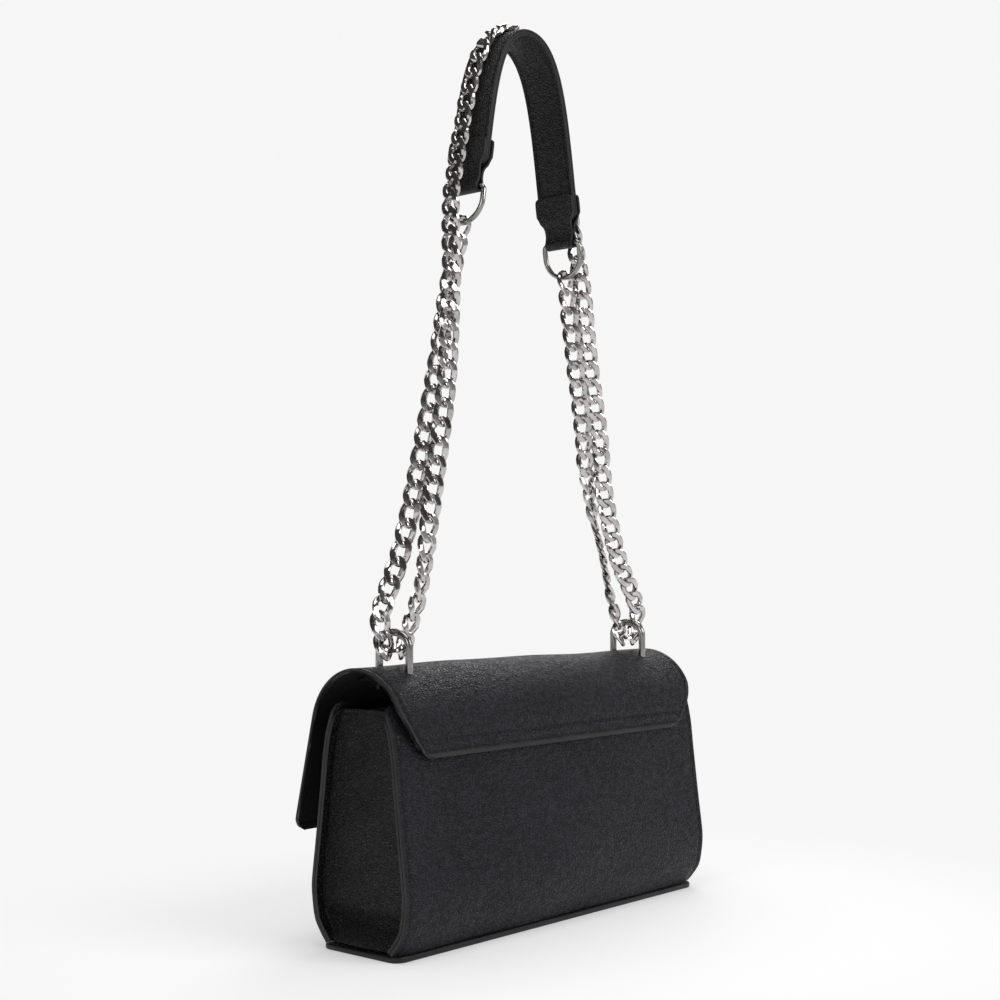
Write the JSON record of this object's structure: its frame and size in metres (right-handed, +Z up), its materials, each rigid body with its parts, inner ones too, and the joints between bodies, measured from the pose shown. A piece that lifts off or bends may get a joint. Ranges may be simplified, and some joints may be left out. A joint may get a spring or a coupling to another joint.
{
  "type": "pochette bag",
  "caption": "Structured black leather pochette with a turning flap and a shoulder strap of polished curb chain that carries a leather shoulder pad.",
  "frame": {"origin": "centre of the flat underside of the base, on the surface that the bag stands on", "axes": "+Z up, +Y out of the back panel that lies against the wearer, -Y out of the front that the flap covers, +X along the bag's width"},
  "size_m": [0.27, 0.0929, 0.5286],
  "materials": {
    "leather": "pebbled, low sheen, with painted edges",
    "fabric": "matte woven lining",
    "board": "stiff leatherboard, hidden inside",
    "satin_metal": "satin nickel",
    "chain_metal": "polished, with flat cut facets"
  },
  "bodies": {
    "bag": {"back_panel": "leather", "front_panel": "leather", "gusset_right": "leather", "gusset_left": "leather", "base_panel": "leather", "base_board": "board", "lining": "fabric", "slip_pocket": "fabric", "flap_root": "leather", "flap_root_lining": "leather", "snap_socket": "satin_metal"},
    "flap_part": {"flap": "leather", "flap_lining": "leather", "staple_right": "satin_metal", "staple_left": "satin_metal", "staple_plate_right": "satin_metal", "staple_plate_left": "satin_metal", "staple_nut_right_back": "satin_metal", "staple_nut_right_front": "satin_metal", "staple_nut_left_back": "satin_metal", "staple_nut_left_front": "satin_metal", "snap_stud": "satin_metal"},
    "strap": {"pad_outer": "leather", "pad_core": "board", "pad_lining": "leather", "pad_tab_right": "leather", "pad_tab_left": "leather", "d_ring_right": "satin_metal", "d_ring_left": "satin_metal", "chain_inner_right": "chain_metal", "chain_inner_left": "chain_metal", "chain_outer_right": "chain_metal", "chain_outer_left": "chain_metal", "chain_over_pad": "chain_metal", "chain_staple_link_right": "chain_metal", "chain_staple_link_left": "chain_metal"}
  },
  "joints": [
    {"name": "flap_hinge", "type": "hinge", "parent": "bag", "child": "flap_part", "pos_m": [0, 0.0307, 0.116], "axis": [-1, 0, 0], "range_deg": [0, 105]},
    {"name": "strap_swing", "type": "hinge", "parent": "flap_part", "child": "strap", "pos_m": [0, -0.002, 0.16019], "axis": [1, 0, 0], "range_deg": [-80, 80]}
  ]
}
